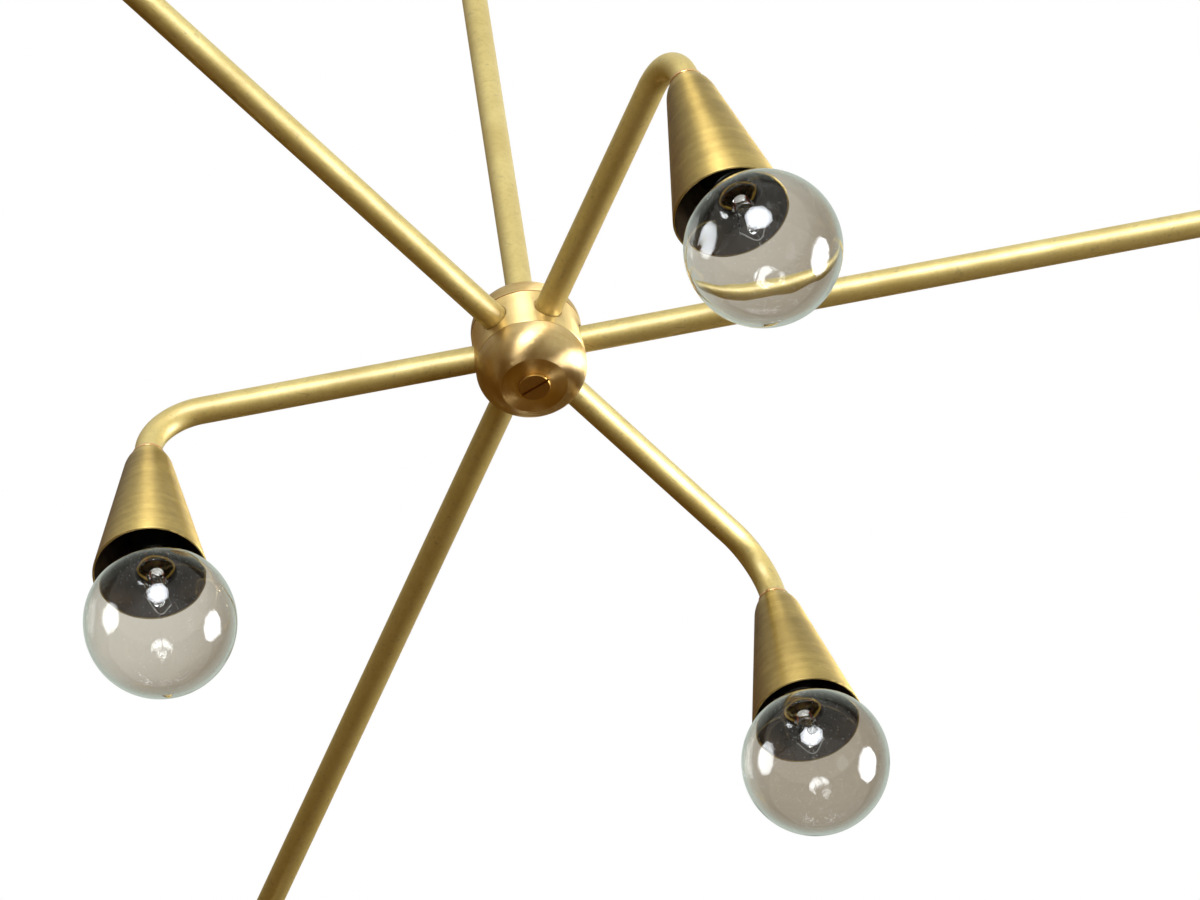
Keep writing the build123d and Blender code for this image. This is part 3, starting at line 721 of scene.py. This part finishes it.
def mountMesh(sides=40):
    outside = [(h * mm, x * mm, y * mm) for h, x, y in smoothRings(stemRings)]
    bore, wall = mountShape["bore"], mountShape["wall"]
    inside = [(h, x - wall, y - wall) for h, x, y in outside if h > bore + 1e-6]
    shape = bmesh.new()
    rings = []
    for height, wide, deep in [*reversed(inside), *outside]:
        # under the bore the glass is solid, and lumpy from the jaws
        lumps = 0.0 if height > bore - 1 * mm else mountShape["lump"]
        ring = []
        for side in range(sides):
            angle = 2 * pi * side / sides
            swell = lumps * sin(3 * angle + height * 2100) * sin(height * 3300)
            spot = ((wide + swell) * cos(angle), (deep + swell) * sin(angle), height)
            ring.append(shape.verts.new(spot))
        rings.append(ring)
    for low, high in zip(rings, rings[1:]):
        for side in range(sides):
            ahead = (side + 1) % sides
            shape.faces.new((low[side], low[ahead], high[ahead], high[side]))
    shape.faces.new(rings[0])
    shape.faces.new(rings[-1])
    return finishMesh(shape, "bulbStem", sharpAngle=60)


# rounds a chain of corners by cutting each one back
def smoothPath(corners, rounds=3):
    points = corners
    for _ in range(rounds):
        cut = [points[0]]
        for first, second in zip(points, points[1:]):
            cut += [first.lerp(second, 0.25), first.lerp(second, 0.75)]
        points = cut + [points[-1]]
    return points


# the wires' corners in millimetres; lead and inner are mirrored in x for the other side
wireRoutes = {
    "lead": ((2.6, 0, 23.0), (2.7, 0.1, 19.0), (3.3, 0.2, 16.0), (4.4, 0, 11.6), (5.0, 0, 11.0),
             (4.5, 0, 10.4)),
    "inner": ((2.5, 0, 21.8), (2.2, 0.1, 24.2), (1.3, 0.2, 27.0), (1.6, 0.1, 31.0)),
    "support": ((0.1, 0, 10.4), (0.3, 0.2, 7.0), (0.1, 0.1, 3.0), (0.6, 0.3, 1.7),
                (-0.5, 0.1, 1.5), (-0.4, -0.3, 2.6)),
}


def wiresMesh():
    shape = bmesh.new()

    def addWire(route, side, radius, slotIndex=0):
        corners = [Vector((side * x, y, z)) * mm for x, y, z in wireRoutes[route]]
        sweepInto(shape, smoothPath(corners), (radius,), sides=8, slotIndex=slotIndex)

    for side in (-1, 1):
        addWire("lead", side, mountShape["wire"])
        addWire("inner", side, mountShape["inner"], slotIndex=1)
    addWire("support", 1, mountShape["wire"] * 0.7)
    mesh = finishMesh(shape, "bulbWires", sharpAngle=60)
    mesh.materials.append(wireMetal)
    mesh.materials.append(copperMetal)
    return mesh


# the filament: a fine coil that runs from one lead down to the hook and up to the other
def coilMesh():
    spread, high, low = mountShape["spread"], mountShape["leadEnd"], mountShape["hook"]
    line = smoothPath([Vector((-spread, 0, high)), Vector((0, 0, low)), Vector((spread, 0, high))])
    lengths = [0.0]
    for first, second in zip(line, line[1:]):
        lengths.append(lengths[-1] + (second - first).length)
    turnSteps, away = mountShape["turnSteps"], Vector((0, 1, 0))
    steps = mountShape["coilTurns"] * turnSteps
    path = []
    piece = 0
    for step in range(steps + 1):
        travel = lengths[-1] * step / steps
        while piece < len(line) - 2 and lengths[piece + 1] < travel:
            piece += 1
        share = (travel - lengths[piece]) / (lengths[piece + 1] - lengths[piece])
        direction = (line[piece + 1] - line[piece]).normalized()
        beside = direction.cross(away)
        angle = 2 * pi * step / turnSteps
        spot = line[piece].lerp(line[piece + 1], share)
        path.append(spot + (beside * cos(angle) + away * sin(angle)) * mountShape["coil"])
    shape = bmesh.new()
    sweepInto(shape, path, (mountShape["coilWire"],), sides=5)
    return finishMesh(shape, "bulbCoil", sharpAngle=60)


collar, cone, globe = collarMesh(), coneMesh(), globeMesh()
cap, mount, wires, coil = baseMesh(), mountMesh(), wiresMesh(), coilMesh()
for number in range(1, layout["armCount"] + 1):
    arm, bulb = f"arm_{number}", f"bulb_{number}"
    addPiece(f"armTube_{number}", armMesh(number), armPlace(number), arm, "tube_brass",
             [f"arm_{number}"], tubeMetal)
    addPiece(f"armCollar_{number}", collar, uprightPlace(lampPlace(number)), arm,
             "collar_brass", [f"collar_{number}"], collarMetal)
    addPiece(f"coneShell_{number}", cone, uprightPlace(lampPlace(number)), arm, "cone_brass",
             [f"cone_{number}"])
    addPiece(f"bulbGlobe_{number}", leanedMesh(globe, bulbPlace(number)),
             Matrix.Translation(bulbPlace(number).to_translation()), bulb, "bulb_glass",
             [f"bulb_glass_{number}"], globeGlass)
    addPiece(f"bulbCap_{number}", cap, bulbPlace(number), bulb, "base_brass",
             [f"bulb_base_{number}"])
    addPiece(f"bulbStem_{number}", mount, bulbPlace(number), bulb, "bulb_glass", [], mountGlass)
    addPiece(f"bulbWires_{number}", wires, bulbPlace(number), bulb, "filament_metal", [])
    addPiece(f"bulbCoil_{number}", coil, bulbPlace(number), bulb, "filament_metal",
             [f"filament_{number}"], coilMetal)
print("arms and lamps built")

# hub: the caps are turned again here with finer facets; the bored band and the screw stay
hubShape = {"radius": 19.4 * mm, "half": 8.5 * mm, "skirt": 1.6 * mm, "arc": 10.6 * mm,
            "flat": 11.7 * mm, "wall": 3.0 * mm, "soft": 0.25 * mm, "seamHeight": 0.2 * mm,
            "seamDepth": 0.3 * mm, "stemHole": 4.8125 * mm, "screwHole": 3.05 * mm}


def capMesh(name, hole):
    radius, skirt, arc, flat = (hubShape[key] for key in ("radius", "skirt", "arc", "flat"))
    centre = (radius - arc, skirt)
    last = acos((flat - centre[0]) / arc) * 180 / pi
    top = skirt + arc * sin(radians(last))
    dome, wall = arcPoints(centre, arc, 0, last, steps=40), hubShape["wall"]
    rim = softCorners([(radius - wall, 0.0), (radius, 0.0, hubShape["soft"]), dome[0]], steps=9)
    outline = rim[:-1] + dome + [(hole, top), (hole, top - wall), (radius - wall * 2, top - wall),
                                 (radius - wall, skirt)]
    mesh = latheMesh(name, outline, sides=192, sharpAngle=13)
    for material in (domeMetal, seamMetal, flatPaintedShadeMetal):
        mesh.materials.append(material)
    seamHeight, seamReach = hubShape["seamHeight"], radius - hubShape["seamDepth"]
    for face in mesh.polygons:
        if face.center.z < seamHeight and hypot(face.center.x, face.center.y) > seamReach:
            face.material_index = 1
        # the flat round the hole takes the darker brass, which is painted shade
        elif face.center.z > top - 0.01 * mm:
            face.material_index = 2
    return mesh


topPlace = shift(z=hubShape["half"] - layout["hubDrop"])
bottomPlace = shift(z=-hubShape["half"] - layout["hubDrop"]) @ turnAbout("X", 180)
addPiece("hubCapTop", capMesh("hubCapTop", hubShape["stemHole"]), topPlace, "root", "hub_brass",
         ["hub_top_cap"])
addPiece("hubCapBottom", capMesh("hubCapBottom", hubShape["screwHole"]), bottomPlace, "root",
         "hub_brass", ["hub_bottom_cap"])

stemShape = bmesh.new()
sweepInto(stemShape, [Vector((0, 0, -tubeShape["stemTop"])),
                      Vector((0, 0, -layout["hubDrop"] + tubeShape["stemEnd"]))],
          (tubeShape["radius"], tubeShape["radius"] - tubeShape["wall"]), tubeShape["sides"])
addPiece("stemTube", finishMesh(stemShape, "stemTube", sharpAngle=50), Matrix.Identity(4), "root",
         "tube_brass", ["stem"], tubeMetal)
print("hub and stem built")

canopyShape = {"radius": 63.5 * mm, "height": 25.0 * mm, "wall": 1.2 * mm, "edge": 9.0 * mm,
               "hole": 5.11 * mm, "hem": 0.5 * mm}


def canopyMesh():
    radius, height, wall, edge = (canopyShape[key] for key in ("radius", "height", "wall", "edge"))
    outline = softCorners([
        (canopyShape["hole"], -height), (radius, -height, edge), (radius, 0.0, canopyShape["hem"]),
        (radius - wall, 0.0, canopyShape["hem"]), (radius - wall, wall - height, edge - wall),
        (canopyShape["hole"], wall - height)], steps=14)
    return latheMesh("canopyPan", outline, sides=192, sharpAngle=40)


addPiece("canopyPan", canopyMesh(), Matrix.Identity(4), "canopy", "hub_brass",
         ["canopy"], canopyMetal)

# the CAD nodes that stay get their finish here
carried = {"hub_band": hubMetal, "cap_screw": screwMetal, "hub_bracket": fastenerMetal,
           "stem_nuts": fastenerMetal, "ceiling_strap": strapMetal, "ground_screw": fastenerMetal,
           "slip_collar": hubMetal, "slip_collar_screw": hubMetal}
for number in range(1, layout["armCount"] + 1):
    carried[f"arm_nuts_{number}"] = fastenerMetal
    carried[f"lamp_holder_{number}"] = holderPlastic
for name, material in carried.items():
    nodes[name].data.materials.clear()
    nodes[name].data.materials.append(material)
print("canopy built, carried nodes finished")

# the photograph's camera: it looks up at the hub from below and in front
viewing = {"elevation": 50.235, "roll": -9.472, "pixels": 5692.58, "distance": 1.986,
           "hubX": 528.7, "hubY": 349.3, "turned": 1.436, "frameWide": 1200, "frameHigh": 900}


def placeCamera():
    lift, roll = radians(viewing["elevation"]), radians(viewing["roll"])
    ahead = Vector((0, cos(lift), sin(lift)))
    level, upright = Vector((1, 0, 0)), Vector((0, -sin(lift), cos(lift)))
    right = level * cos(roll) + upright * sin(roll)
    above = upright * cos(roll) - level * sin(roll)
    offX = (viewing["hubX"] - viewing["frameWide"] / 2) / viewing["pixels"]
    offY = (viewing["hubY"] - viewing["frameHigh"] / 2) / viewing["pixels"]
    spot = -(ahead + right * offX - above * offY) * viewing["distance"]
    axes = Matrix((right, above, -ahead)).transposed().to_4x4()
    data = bpy.data.cameras.new("photoCamera")
    data.sensor_width = 36.0
    data.lens = viewing["pixels"] / viewing["frameWide"] * data.sensor_width
    data.clip_end = 100.0
    hubAxes = shift(z=-layout["hubDrop"]) @ turnAbout("Z", viewing["turned"])
    camera = addObject("photoCamera", data, hubAxes @ shift(*spot) @ axes)
    bpy.context.scene.camera = camera
    return camera


camera = placeCamera()
bpy.context.view_layer.update()
cameraAxes = camera.matrix_world.to_3x3()

# two eight-sided softboxes, by direction from the hub as the camera sees it: right, up, nearer
softboxes = {"frontSoftbox": {"toward": (-0.075, 0.655, 0.752), "radius": 0.52},
             "sideSoftbox": {"toward": (0.99, -0.13, 0.04), "radius": 0.58}}
# each is brightest in its core, and dims from there to its rim
softboxGlow = {"tone": "f4f8ff", "strength": 16.0, "core": 0.3, "coreShare": 1.35,
               "rimShare": 0.4, "distance": 1.7}


def softboxLight(name, light):
    shape = bmesh.new()
    corners = [shape.verts.new((light["radius"] * cos(pi / 4 * (i + 0.5)),
                                light["radius"] * sin(pi / 4 * (i + 0.5)), 0)) for i in range(8)]
    shape.faces.new(corners)
    mesh = meshFrom(shape, name)
    material = bpy.data.materials.new(name)
    material.use_nodes = True
    tree = material.node_tree
    tree.nodes.clear()
    place = addNode(tree, "ShaderNodeTexCoord").outputs["Object"]
    away = addNode(tree, "ShaderNodeVectorMath", {0: place}, operation="LENGTH").outputs["Value"]
    level = softboxGlow["strength"]
    strength = rangeNode(tree, away, light["radius"] * softboxGlow["core"], light["radius"],
                         level * softboxGlow["coreShare"], level * softboxGlow["rimShare"])
    geometry = addNode(tree, "ShaderNodeNewGeometry")
    front = mathNode(tree, "SUBTRACT", 1.0, geometry.outputs["Backfacing"])
    shining = mathNode(tree, "MULTIPLY", strength, front)
    glow = addNode(tree, "ShaderNodeEmission", {"Color": tone(softboxGlow["tone"]),
                                                "Strength": shining})
    # a softbox behind a clear bulb is not seen straight through its glass
    rays = addNode(tree, "ShaderNodeLightPath").outputs
    bounced = mathNode(tree, "ADD", rays["Glossy Depth"], rays["Diffuse Depth"])
    straight = mathNode(tree, "LESS_THAN", bounced, 0.5)
    through = mathNode(tree, "MULTIPLY", straight, rays["Is Transmission Ray"])
    clear = addNode(tree, "ShaderNodeBsdfTransparent")
    shown = addNode(tree, "ShaderNodeMixShader", {0: through, 1: glow.outputs[0], 2: clear.outputs[0]})
    output = tree.nodes.new("ShaderNodeOutputMaterial")
    tree.links.new(shown.outputs[0], output.inputs["Surface"])
    mesh.materials.append(material)
    toward = (cameraAxes @ Vector(light["toward"])).normalized()
    hub = Vector((0, 0, -layout["hubDrop"]))
    facingHub = (-toward).to_track_quat("Z", "Y").to_matrix().to_4x4()
    lamp = addObject(name, mesh, Matrix.Translation(hub + toward * softboxGlow["distance"]) @ facingHub)
    lamp.visible_camera = False


for name, light in softboxes.items():
    softboxLight(name, light)

# the surroundings; "bright" points from the hub at the lit side of the room, "behind" at the wall
# that the glass edges show, "across" the way in which the wall seen through the glass darkens;
# each has the range over which its first tone goes over into its second
surround = {"camera": "ffffff", "diffuse": "c8c8c8", "glass": "d9d4c8", "glassDim": "aea393",
            "shinyDark": "6a4f22", "shinyLight": "fbfff4", "edgeDark": "1f1b15",
            "edgeLight": "bcc4ba", "bright": (0.52, -0.66, 0.54), "brightRange": (-0.4, 0.75),
            "behind": (0.0, 0.64, 0.77), "behindRange": (0.35, 0.95),
            "across": (0.66, 0.585, -0.473), "acrossRange": (-0.08, 0.08)}


# what lies round the object: white to the camera, a pale wall seen straight through clear
# glass, an even grey that lights dull surfaces, a room with a lit side for shiny ones, and a
# dark one with a pale wall for what the clear glass mirrors
def buildWorld():
    world = bpy.data.worlds.new("studioWorld")
    bpy.context.scene.world = world
    world.use_nodes = True
    tree = world.node_tree
    rays = addNode(tree, "ShaderNodeLightPath").outputs
    direction = addNode(tree, "ShaderNodeTexCoord").outputs["Generated"]

    def twoTones(way, first, second):
        dot = addNode(tree, "ShaderNodeVectorMath", {0: direction, 1: surround[way]},
                      operation="DOT_PRODUCT")
        share = rangeNode(tree, dot.outputs["Value"], *surround[way + "Range"])
        return mixColours(tree, share, tone(surround[first]), tone(surround[second]))

    shiny = twoTones("bright", "shinyDark", "shinyLight")
    edges = twoTones("behind", "edgeDark", "edgeLight")
    mirrored = mixColours(tree, rays["Is Singular Ray"], shiny, edges)
    shone = mathNode(tree, "GREATER_THAN", rays["Glossy Depth"], 0.5)
    wall = twoTones("across", "glass", "glassDim")
    colour = mixColours(tree, shone, wall, mirrored)
    dull = mathNode(tree, "GREATER_THAN", rays["Diffuse Depth"], 0.5)
    colour = mixColours(tree, dull, colour, tone(surround["diffuse"]))
    colour = mixColours(tree, rays["Is Camera Ray"], colour, tone(surround["camera"]))
    tree.links.new(colour, tree.nodes["Background"].inputs["Color"])


buildWorld()

floorShape = {"radius": 9.0, "height": -2.4, "pale": "d9d7d3", "fadeFrom": 1.2, "fadeTo": 3.4}


# a pale round floor that runs out to white, and lets a camera under it see through
def buildFloor():
    shape = bmesh.new()
    bmesh.ops.create_circle(shape, cap_ends=True, segments=96, radius=floorShape["radius"])
    mesh = meshFrom(shape, "studioFloor")
    material, tree, shader = newMaterial("studioFloor", Roughness=0.9,
                                         Base_Color=tone(floorShape["pale"]))
    place = addNode(tree, "ShaderNodeTexCoord").outputs["Object"]
    away = addNode(tree, "ShaderNodeVectorMath", {0: place}, operation="LENGTH").outputs["Value"]
    fade = rangeNode(tree, away, floorShape["fadeFrom"], floorShape["fadeTo"])
    rays = addNode(tree, "ShaderNodeLightPath").outputs
    glow = addNode(tree, "ShaderNodeEmission", {"Color": (1, 1, 1, 1), "Strength": 1.0})
    seen = mathNode(tree, "MULTIPLY", fade, rays["Is Camera Ray"])
    blended = addNode(tree, "ShaderNodeMixShader", {0: seen, 1: shader.outputs[0], 2: glow.outputs[0]})
    clear = addNode(tree, "ShaderNodeBsdfTransparent")
    below = addNode(tree, "ShaderNodeNewGeometry").outputs["Backfacing"]
    whole = addNode(tree, "ShaderNodeMixShader", {0: below, 1: blended.outputs[0], 2: clear.outputs[0]})
    tree.links.new(whole.outputs[0], tree.nodes["Material Output"].inputs["Surface"])
    mesh.materials.append(material)
    floor = addObject("studioFloor", mesh, shift(z=floorShape["height"]))
    floor.visible_glossy = False


buildFloor()
bpy.context.scene.view_settings.view_transform = "Standard"
print("camera, softboxes, world and floor placed")
